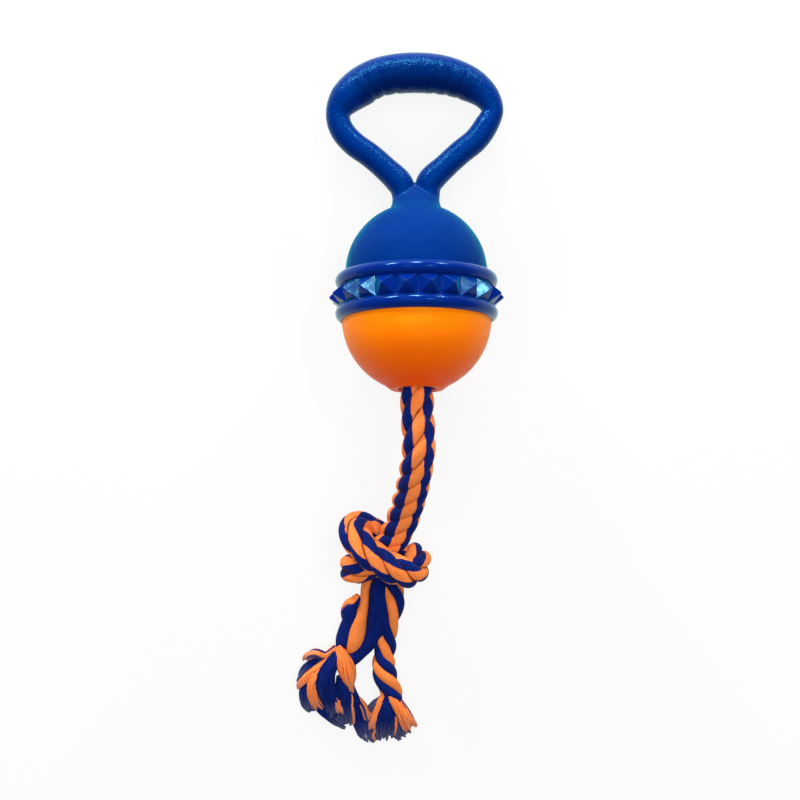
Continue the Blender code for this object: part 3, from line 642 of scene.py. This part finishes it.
# The pebbled skin covers the loop and fades out on the neck's foot. Painted shade darkens the ribbed inner side.
pebbled = np.clip((spots[:, 2] - DOME_CROWN_Z - 0.5 * MM) / (4 * MM), 0, 1)
painted_shade = np.clip((facing - RIBS_END) * 1.6, 0, 1) * np.clip((RIB_REACH + 3 * MM - np.abs(along)) / (8 * MM), 0, 1)
store_values(loop_mesh, "pebble", pebbled)
store_values(loop_mesh, "painted_shade", painted_shade)
loop_mesh.shade_smooth()
handle = ball_piece("handle_grip_loop", loop_mesh)
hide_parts("handle_loop")

# %% [markdown]
# ## Ball: dome, orange half and toothed band
# The two halves are turned profiles, as their moulds are. The band has a round bead at each edge and a row of
# four-sided teeth between. A tooth is a pyramid with its edges rounded over a fraction of a millimetre and its point
# blunted, because rubber never fills a sharp mould corner. The teeth are joined to the band with a boolean, so their
# feet meet it in one skin.

# %% Turn the two halves
BALL_RADIUS = 35.0
DOME_RADIUS = 33.3
DOME_CENTRE_Z = 11.2
LOWER_CENTRE_Z = -9.7
SHELL_WALL = 3.5
BAND_RADIUS = 35.7
LIP_RADIUS, LIP_BORE = 31.9, 29.5
SHOULDER_Z = 10.1
BEAD_Z, BEAD_RADIUS, BEAD_CIRCLE = 7.7, 3.5, 34.5


def arc(centre_r, centre_z, radius, start, end, count):
    angles = np.radians(np.linspace(start, end, count + 1))
    return [(centre_r + radius * math.cos(a), centre_z + radius * math.sin(a)) for a in angles]


def angle_at(radius, r):
    """The angle in degrees at which a circle of this radius is r from the axis."""
    return math.degrees(math.acos(r / radius))


# The crown is open under the handle's foot, and the halves meet with a hair's gap
CROWN_HOLE = 7.3
SEAM = 0.15
shoulder = math.degrees(math.asin((SHOULDER_Z - DOME_CENTRE_Z) / DOME_RADIUS))
dome_profile = arc(0, DOME_CENTRE_Z, DOME_RADIUS, angle_at(DOME_RADIUS, CROWN_HOLE), shoulder, 40)
dome_profile += [(LIP_RADIUS, SHOULDER_Z), (LIP_RADIUS, SEAM), (LIP_BORE, SEAM)]
inner = DOME_RADIUS - SHELL_WALL
dome_profile += arc(0, DOME_CENTRE_Z, inner, angle_at(inner, LIP_BORE), angle_at(inner, CROWN_HOLE), 20)
dome = ball_piece("dome_half", revolved("dome_half", dome_profile, 160))
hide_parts("dome_shell")

MOUTH_EDGE, MOUTH_FLAT = 15.4, 12.4
LIP_END = -43.4
ROPE_HOLE = 8.4
BOSS, BOSS_DEPTH = 13.0, 6.6
mouth_z = MOUTH_Z / MM
shoulder = math.degrees(math.asin((-SHOULDER_Z - LOWER_CENTRE_Z) / BALL_RADIUS))
lower_profile = [(LIP_BORE, -SEAM), (LIP_RADIUS, -SEAM), (LIP_RADIUS, -SHOULDER_Z)]
lower_profile += arc(0, LOWER_CENTRE_Z, BALL_RADIUS, shoulder, -angle_at(BALL_RADIUS, MOUTH_EDGE), 44)
lower_profile += [(MOUTH_FLAT + 0.12, LIP_END + 0.12), (MOUTH_FLAT, LIP_END)]
lower_profile += [(ROPE_HOLE + 0.8, LIP_END), (ROPE_HOLE + 0.3, LIP_END + 0.25)]
lower_profile += [(ROPE_HOLE, mouth_z + 0.8), (ROPE_HOLE, mouth_z + BOSS_DEPTH), (BOSS, mouth_z + BOSS_DEPTH)]
inner = BALL_RADIUS - SHELL_WALL
lower_profile += arc(0, LOWER_CENTRE_Z, inner, -angle_at(inner, BOSS), 0, 20)
lower_profile.append((LIP_BORE, LOWER_CENTRE_Z + inner - LIP_BORE))
lower_mesh = revolved("orange_half", lower_profile, 160)
# Painted shade: the orange grows darker and redder towards the mouth, the end turned away from the light
heights = np.array([v.co.z for v in lower_mesh.vertices])
store_values(lower_mesh, "painted_shade", np.clip((-14 * MM - heights) / (28 * MM), 0, 1))
lower = ball_piece("orange_half", lower_mesh)
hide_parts("lower_shell")
for piece in (dome, lower):
    piece.data.shade_smooth()
    piece.data.set_sharp_from_angle(angle=math.radians(35))

# %% Band with beads
TOOTH_COUNT = 22
TOOTH_TIP, TOOTH_HEIGHT, TOOTH_GAP = 41.2, 9.4, 1.1
BAND_BORE, BAND_EDGE_Z, SKIRT = 32.2, 9.8, 0.3
low = -angle_at(BEAD_RADIUS, BAND_RADIUS - BEAD_CIRCLE)
band_profile = []
for side, ball_radius in ((1, DOME_RADIUS), (-1, BALL_RADIUS)):
    skirt = ball_radius + SKIRT
    top = angle_at(BEAD_RADIUS, skirt - BEAD_CIRCLE)
    rows = [(BAND_BORE, BAND_EDGE_Z), (skirt, BAND_EDGE_Z)] + arc(BEAD_CIRCLE, BEAD_Z, BEAD_RADIUS, top, low, 22)
    rows = [(r, side * z) for r, z in rows]
    band_profile += rows if side > 0 else rows[::-1]
band_mesh = revolved("toothed_band", band_profile, TOOTH_COUNT * 8)


# %% Teeth
TOOTH_ROOT, TOOTH_ROUNDING = 1.2, 0.3
# A tooth's point is blunted to this share of its foot
TOOTH_BLUNT = 0.075


def tooth_row():
    """Four-sided teeth with rounded edges, in the ball's frame."""
    pitch = 2 * math.pi / TOOTH_COUNT
    width = 2 * BAND_RADIUS * math.sin(pitch / 2) - TOOTH_GAP
    reach = TOOTH_TIP - BAND_RADIUS
    grow = (reach + TOOTH_ROOT) / reach
    teeth = bmesh.new()
    for i in range(TOOTH_COUNT):
        one = bmesh.new()
        rows = []
        for share, out in ((grow, -TOOTH_ROOT), (TOOTH_BLUNT, reach * (1 - TOOTH_BLUNT))):
            w, h = width / 2 * share, TOOTH_HEIGHT / 2 * share
            rows.append([one.verts.new((BAND_RADIUS + out, y, z)) for y, z in ((-w, -h), (w, -h), (w, h), (-w, h))])
        for k in range(4):
            n = (k + 1) % 4
            one.faces.new((rows[0][k], rows[0][n], rows[1][n], rows[1][k]))
        one.faces.new(rows[1])
        one.faces.new(rows[0][::-1])
        edges = [e for e in one.edges if max(v.co.x for v in e.verts) > BAND_RADIUS]
        bmesh.ops.bevel(one, geom=edges, offset=TOOTH_ROUNDING, segments=3, profile=0.5, affect="EDGES",
                        clamp_overlap=True)
        turn = Matrix.Rotation(pitch * (i + 0.5) - math.pi / 2, 4, "Z")
        bmesh.ops.transform(one, matrix=Matrix.Diagonal((MM, MM, MM, 1)) @ turn, verts=one.verts)
        bmesh.ops.recalc_face_normals(one, faces=one.faces)
        part = bpy.data.meshes.new("tooth")
        one.to_mesh(part)
        one.free()
        teeth.from_mesh(part)
        bpy.data.meshes.remove(part)
    mesh = bpy.data.meshes.new("teeth")
    teeth.to_mesh(mesh)
    teeth.free()
    return mesh


teeth = scene_object("teeth", tooth_row())
band_mesh = made_by(band_mesh, ("BOOLEAN", {"operation": "UNION", "solver": "EXACT", "object": teeth}))
bpy.data.objects.remove(teeth)
band_mesh.shade_smooth()
band_mesh.set_sharp_from_angle(angle=math.radians(30))
# Large faces set the shading, so each facet looks flat between its rounded edges
band_mesh = made_by(band_mesh, ("WEIGHTED_NORMAL", {"keep_sharp": True, "weight": 90}))
band = ball_piece("toothed_band", band_mesh)
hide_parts("tooth_ring")
print("band", len(band_mesh.vertices), "points")

# %% [markdown]
# ## Knot inside the ball
# Nothing shows inside the closed ball, but the rope has to be held there, so its inner end is wound into a short
# coil in the room of the CAD model's stopper.

# %% Wind the hidden stopper
COIL_LOW = MOUTH_Z + 14.5 * MM
COIL_RISE, COIL_SPREAD, COIL_TURNS = 8.4 * MM, 7.0 * MM, 1.25
coil = []
for share in np.linspace(0, 1, 40):
    angle = 2 * math.pi * COIL_TURNS * share
    spread = COIL_SPREAD * min(1, share * 4)
    coil.append((spread * math.cos(angle), spread * math.sin(angle), COIL_LOW + COIL_RISE * share))
coil_line, coil_along = even_line(smooth_line(coil, 4), 1.2 * MM)
stopper_rings = Rings()
lay_strands(stopper_rings, coil_line, coil_along, 7.4 * MM, coil_along / LAY_PITCH, [BOTH_COLOURS] * 4, 10)
stopper = ball_piece("inner_stopper", stopper_rings.mesh("inner_stopper"), "rope_anchor")
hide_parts("rope_stopper")


# %% [markdown]
# ## Shared effects as node groups
# Rubber and rope need a few effects more than once: a slow drift of colour, a pebbled or satin grain, and the fibres
# of cotton. Each is a node group with named inputs, built once, and each material places it with its own values.

# %% Helpers for node groups
COLOUR, NUMBER = "NodeSocketColor", "NodeSocketFloat"


def group(name, inputs, outputs):
    """A new shader node group, from each input's default, a colour or a number, and each output's kind."""
    tree = bpy.data.node_groups.new(name, "ShaderNodeTree")
    for socket, value in inputs.items():
        kind = COLOUR if isinstance(value, tuple) else NUMBER
        tree.interface.new_socket(socket, in_out="INPUT", socket_type=kind).default_value = value
    for socket, kind in outputs.items():
        tree.interface.new_socket(socket, in_out="OUTPUT", socket_type=kind)
    return tree, tree.nodes.new("NodeGroupInput"), tree.nodes.new("NodeGroupOutput")


def math_node(tree, operation, *values):
    """A Math node whose inputs are sockets or numbers."""
    node = tree.nodes.new("ShaderNodeMath")
    node.operation = operation
    for k, value in enumerate(values):
        if isinstance(value, bpy.types.NodeSocket):
            tree.links.new(value, node.inputs[k])
        else:
            node.inputs[k].default_value = value
    return node.outputs[0]


def times(tree, a, b):
    return math_node(tree, "MULTIPLY", a, b)


def plus(tree, a, b):
    return math_node(tree, "ADD", a, b)


def mapped(tree, value, from_low, from_high, to_low=0.0, to_high=1.0, smooth=True):
    node = tree.nodes.new("ShaderNodeMapRange")
    node.interpolation_type = "SMOOTHSTEP" if smooth else "LINEAR"
    tree.links.new(value, node.inputs["Value"])
    for key, number in (("From Min", from_low), ("From Max", from_high), ("To Min", to_low), ("To Max", to_high)):
        node.inputs[key].default_value = number
    return node.outputs["Result"]


def mixed(tree, factor, a, b):
    """A colour mix by a factor socket. a and b are each a socket or a colour."""
    node = tree.nodes.new("ShaderNodeMix")
    node.data_type = "RGBA"
    sockets = {s.identifier: s for s in node.inputs}
    for key, value in (("Factor_Float", factor), ("A_Color", a), ("B_Color", b)):
        if isinstance(value, bpy.types.NodeSocket):
            tree.links.new(value, sockets[key])
        else:
            sockets[key].default_value = (*value, 1.0)
    return {s.identifier: s for s in node.outputs}["Result_Color"]


def attribute(tree, name):
    """The values that a mesh keeps under this name."""
    node = tree.nodes.new("ShaderNodeAttribute")
    node.attribute_name = name
    return node


def noise_node(tree, vector, scale, detail=2.0, roughness=0.5):
    node = tree.nodes.new("ShaderNodeTexNoise")
    tree.links.new(vector, node.inputs["Vector"])
    node.inputs["Scale"].default_value = scale
    node.inputs["Detail"].default_value = detail
    node.inputs["Roughness"].default_value = roughness
    return node.outputs["Fac"]


# %% Group: slow drift of a moulded colour
drift, g_in, g_out = group("colour drift", {"Colour": (0.5, 0.5, 0.5, 1), "Deep": (0.4, 0.4, 0.4, 1), "Amount": 0.5},
                           {"Colour": COLOUR})
place = drift.nodes.new("ShaderNodeTexCoord").outputs["Object"]
cloud = plus(drift, times(drift, noise_node(drift, place, 90.0), 0.7),
             times(drift, noise_node(drift, place, 900.0, 3.0), 0.3))
cloud = mapped(drift, cloud, 0.38, 0.62)
factor = times(drift, cloud, g_in.outputs["Amount"])
drift.links.new(mixed(drift, factor, g_in.outputs["Colour"], g_in.outputs["Deep"]), g_out.inputs["Colour"])

# %% Group: moulded grain, from satin to pebbled
grain, g_in, g_out = group("moulded grain", {"Pebble Size": 900.0, "Pebble": 1.0, "Satin": 0.3},
                           {"Height": NUMBER, "Dull": NUMBER})
place = grain.nodes.new("ShaderNodeTexCoord").outputs["Object"]
cells = grain.nodes.new("ShaderNodeTexVoronoi")
cells.feature = "SMOOTH_F1"
cells.inputs["Smoothness"].default_value = 0.8
grain.links.new(place, cells.inputs["Vector"])
grain.links.new(g_in.outputs["Pebble Size"], cells.inputs["Scale"])
pebble = mapped(grain, cells.outputs["Distance"], 0.1, 0.75, 1.0, 0.0)
fine = noise_node(grain, place, 3200.0, 3.0)
height = plus(grain, times(grain, pebble, g_in.outputs["Pebble"]), times(grain, fine, g_in.outputs["Satin"]))
grain.links.new(height, g_out.inputs["Height"])
grain.links.new(mapped(grain, noise_node(grain, place, 260.0, 4.0), 0.35, 0.7), g_out.inputs["Dull"])

# %% Group: cotton fibres, the rope's two colours and painted shade in its creases
cotton, g_in, g_out = group(
    "cotton yarn", {"Orange": (1, 0.25, 0.05, 1), "Navy": (0.003, 0.02, 0.15, 1), "Columns": 4.0, "Groove": 0.0},
    {"Colour": COLOUR, "Height": NUMBER},
)
spot = attribute(cotton, "straight")
parts = cotton.nodes.new("ShaderNodeSeparateXYZ")
cotton.links.new(spot.outputs["Vector"], parts.inputs[0])
stretch = cotton.nodes.new("ShaderNodeVectorMath")
stretch.operation = "MULTIPLY"
cotton.links.new(spot.outputs["Vector"], stretch.inputs[0])
stretch.inputs[1].default_value = (1.0, 1.0, 0.12)
fibre = noise_node(cotton, stretch.outputs[0], 2.6, 4.0, 0.6)
yarn = noise_node(cotton, stretch.outputs[0], 0.9, 2.0)
angle = math_node(cotton, "ARCTAN2", parts.outputs["Y"], parts.outputs["X"])
wave = math_node(cotton, "COSINE", times(cotton, angle, g_in.outputs["Columns"]))
jitter = times(cotton, math_node(cotton, "SUBTRACT", yarn, 0.5), 0.9)
wave = plus(cotton, plus(cotton, wave, jitter), attribute(cotton, "tone").outputs["Fac"])
is_orange = mapped(cotton, wave, -0.12, 0.12)
pale_orange = mixed(cotton, mapped(cotton, fibre, 0.3, 0.7, 0.0, 0.7), g_in.outputs["Orange"], (1.0, 0.38, 0.13))
pale_navy = mixed(cotton, mapped(cotton, fibre, 0.3, 0.7, 0.0, 0.6), g_in.outputs["Navy"], (0.002, 0.03, 0.2))
colour = mixed(cotton, is_orange, pale_navy, pale_orange)
# Painted shade: points deep in the crease between two strands are darkened to near black
squares = [times(cotton, parts.outputs[axis], parts.outputs[axis]) for axis in "XY"]
radius = math_node(cotton, "SQRT", plus(cotton, *squares))
painted_crease_shade = times(cotton, mapped(cotton, radius, 5.4, 6.7, 1.0, 0.0), g_in.outputs["Groove"])
colour = mixed(cotton, painted_crease_shade, colour, (0.05, 0.002, 0.004))
# Yarn ends fray to a greyer fluff
fuzz = times(cotton, mapped(cotton, attribute(cotton, "frayed").outputs["Fac"], 0.0, 1.0),
             mapped(cotton, fibre, 0.25, 0.7, 0.25, 0.6))
cotton.links.new(mixed(cotton, fuzz, colour, (0.20, 0.21, 0.27)), g_out.inputs["Colour"])
cotton.links.new(plus(cotton, fibre, times(cotton, yarn, 0.8)), g_out.inputs["Height"])


# %% [markdown]
# ## Finishes
# Each material is a Principled shader fed by the groups. The rubbers differ in colour, grain and gloss, and read from
# the mesh where they are pebbled for grip and where they get painted shade. Their specular tint and sheen give the
# cyan highlights and the teal rims. The cotton is dull and takes its colours from the straightened rope, and the laid
# rope gets painted shade in the creases between its strands.

# %% Materials
def material(name):
    mat = bpy.data.materials.new(name)
    mat.use_nodes = True
    return mat, mat.node_tree, mat.node_tree.nodes["Principled BSDF"]


def placed(tree, shared, **values):
    node = tree.nodes.new("ShaderNodeGroup")
    node.node_tree = shared
    for key, value in values.items():
        node.inputs[key.replace("_", " ")].default_value = value
    return node


def bumped(tree, shader, height, strength, distance):
    bump = tree.nodes.new("ShaderNodeBump")
    bump.inputs["Strength"].default_value = strength
    bump.inputs["Distance"].default_value = distance
    tree.links.new(height, bump.inputs["Height"])
    tree.links.new(bump.outputs["Normal"], shader.inputs["Normal"])


def rubber(name, colour, deep, painted_shade, roughness, depth, level, tint, rim, sheen, grip=None):
    """A moulded rubber, with its third colour as painted shade and grip as its roughness where the mesh asks for them.

    depth is its grain's, level and tint are its specular ones, and rim is the sheen's colour."""
    mat, tree, shader = material(name)
    shade = placed(tree, drift, Colour=(*colour, 1), Deep=(*deep, 1), Amount=0.6)
    skin = placed(tree, grain, Pebble_Size=1050.0, Pebble=0.12, Satin=0.35)
    # Painted shade: the colour turns to the third one where the mesh's attribute marks shade
    painted_shade_mask = attribute(tree, "painted_shade").outputs["Fac"]
    tree.links.new(mixed(tree, painted_shade_mask, shade.outputs["Colour"], painted_shade), shader.inputs["Base Color"])
    dull = mapped(tree, skin.outputs["Dull"], 0, 1, roughness - 0.03, roughness + 0.06)
    if grip:
        pebbled = attribute(tree, "pebble").outputs["Fac"]
        tree.links.new(mapped(tree, pebbled, 0, 1, 0.12, 1.0), skin.inputs["Pebble"])
        dull = plus(tree, dull, mapped(tree, pebbled, 0, 1, 0, grip - roughness))
    tree.links.new(dull, shader.inputs["Roughness"])
    bumped(tree, shader, skin.outputs["Height"], 0.7, depth)
    shader.inputs["IOR"].default_value = 1.5
    shader.inputs["Specular IOR Level"].default_value = level
    shader.inputs["Specular Tint"].default_value = (*tint, 1)
    shader.inputs["Sheen Weight"].default_value = sheen
    shader.inputs["Sheen Roughness"].default_value = 0.3
    shader.inputs["Sheen Tint"].default_value = (*rim, 1)
    return mat


TEAL = (0.0, 0.6, 0.55)
blue_rubber = rubber(
    "blue rubber", (0.0, 0.018, 0.165), (0.0, 0.013, 0.142), painted_shade=(0.0, 0.009, 0.1), roughness=0.8, depth=0.14 * MM,
    level=0.2, tint=(0.0, 0.7, 1.0), rim=TEAL, sheen=0.6, grip=0.26,
)
BAND_BLUE = (0.0, 0.014, 0.18)
blue_band = rubber(
    "band blue rubber", BAND_BLUE, (0.0, 0.01, 0.155), painted_shade=BAND_BLUE, roughness=0.16, depth=0.03 * MM,
    level=0.24, tint=(0.3, 0.88, 1.0), rim=TEAL, sheen=0.5,
)
orange_smooth = rubber(
    "smooth orange rubber", (1.0, 0.25, 0.0), (1.0, 0.205, 0.0), painted_shade=(0.9, 0.08, 0.0), roughness=0.46,
    depth=0.05 * MM, level=0.2, tint=(1.0, 0.8, 0.3), rim=(1.0, 0.6, 0.3), sheen=0.15,
)


def cotton_finish(name, columns, crease_shade):
    """Cotton with its colours in this many columns round the rope, and this much painted shade between the strands."""
    mat, tree, shader = material(name)
    yarns = placed(tree, cotton, Orange=(1.0, 0.20, 0.022, 1), Navy=(0.0, 0.004, 0.115, 1), Columns=columns,
                   Groove=crease_shade)
    tree.links.new(yarns.outputs["Colour"], shader.inputs["Base Color"])
    bumped(tree, shader, yarns.outputs["Height"], 0.55, 0.25 * MM)
    shader.inputs["Roughness"].default_value = 0.85
    shader.inputs["Specular IOR Level"].default_value = 0.15
    shader.inputs["Sheen Weight"].default_value = 0.04
    shader.inputs["Sheen Roughness"].default_value = 0.4
    shader.inputs["Sheen Tint"].default_value = (1.0, 0.8, 0.75, 1)
    return mat


# Four colour columns, with painted shade in the creases between the strands
rope_cotton = cotton_finish("laid cotton rope", 4.0, 0.85)
loose_cotton = cotton_finish("loose cotton yarns", 1.0, 0.0)
for piece, finish in (
    (handle, blue_rubber), (dome, blue_rubber), (band, blue_band), (lower, orange_smooth), (rope, rope_cotton),
    (stopper, rope_cotton), (left_tail, loose_cotton), (right_tail, loose_cotton), (left_tuft, loose_cotton),
    (right_tuft, loose_cotton),
):
    piece.data.materials.clear()
    piece.data.materials.append(finish)

# %% [markdown]
# ## Floor and light
# The floor is a plain pale sheet that keeps the toy's soft shadow. Part of its brightness shows only to the camera
# and in reflections, and most of the sky's only to the camera, so the background renders nearly white and the toy's
# colours stay deep. A large lamp overhead gives the even light. Three low ones behind the handle draw the narrow
# highlights on the bar, the legs and the beads, and two small ones far up show in the bright facets at the band's
# ends.

# %% Floor
floor_mesh = bpy.data.meshes.new("floor")
FLOOR = 2.5
FLOOR_SEEN = 0.86
corners = [(-FLOOR, -FLOOR, 0), (FLOOR, -FLOOR, 0), (FLOOR, FLOOR, 0), (-FLOOR, FLOOR, 0)]
floor_mesh.from_pydata(corners, [], [(0, 1, 2, 3)])
floor = scene_object("floor", floor_mesh)
floor.location.z = -0.3 * MM
floor_mat, tree, shader = material("pale floor")
shader.inputs["Base Color"].default_value = (0.8, 0.8, 0.8, 1)
shader.inputs["Roughness"].default_value = 0.9
glow = tree.nodes.new("ShaderNodeEmission")
glow.inputs["Color"].default_value = (1, 1, 1, 1)
rays = tree.nodes.new("ShaderNodeLightPath")
blend = tree.nodes.new("ShaderNodeMixShader")
seen = math_node(tree, "MAXIMUM", rays.outputs["Is Camera Ray"], rays.outputs["Is Glossy Ray"])
tree.links.new(times(tree, seen, FLOOR_SEEN), blend.inputs[0])
tree.links.new(shader.outputs[0], blend.inputs[1])
tree.links.new(glow.outputs[0], blend.inputs[2])
tree.links.new(blend.outputs[0], tree.nodes["Material Output"].inputs["Surface"])
floor_mesh.materials.append(floor_mat)

# %% World and lamps
SKY_LIGHT, SKY_SEEN = 0.25, 0.94
world = bpy.data.worlds.new("studio")
bpy.context.scene.world = world
world.use_nodes = True
tree = world.node_tree
sky = tree.nodes["Background"]
sky.inputs["Color"].default_value = (1.0, 1.0, 1.0, 1)
rays = tree.nodes.new("ShaderNodeLightPath")
strength = mapped(tree, rays.outputs["Is Camera Ray"], 0, 1, SKY_LIGHT, SKY_SEEN, smooth=False)
tree.links.new(strength, sky.inputs["Strength"])


def softbox(name, place, target, size, watts):
    lamp = bpy.data.lights.new(name, "AREA")
    lamp.shape = "RECTANGLE"
    lamp.size, lamp.size_y = size
    lamp.energy = watts
    made = scene_object(name, lamp)
    made.location = place
    made.rotation_euler = (Vector(target) - Vector(place)).to_track_quat("-Z", "Y").to_euler()
    return made


top = softbox("top softbox", (0.0, 0.05, 1.35), (0, 0, 0.03), (1.2, 1.2), 9.9)
top.visible_glossy = False
softbox("key softbox", (-0.03, 1.2, 0.36), (0, 0.03, 0.03), (0.2, 0.14), 12)
softbox("left strip softbox", (-0.58, 1.03, 0.36), (0, 0.05, 0.03), (0.25, 0.12), 10)
softbox("right strip softbox", (0.58, 1.03, 0.36), (0, 0.05, 0.03), (0.22, 0.1), 6)
softbox("right softbox", (0.64, 0.94, 1.93), (0, -0.03, 0.03), (0.08, 0.08), 6)
softbox("left softbox", (-0.54, 0.96, 1.95), (0, -0.03, 0.03), (0.08, 0.08), 2.4)
bpy.context.scene.view_settings.view_transform = "Standard"
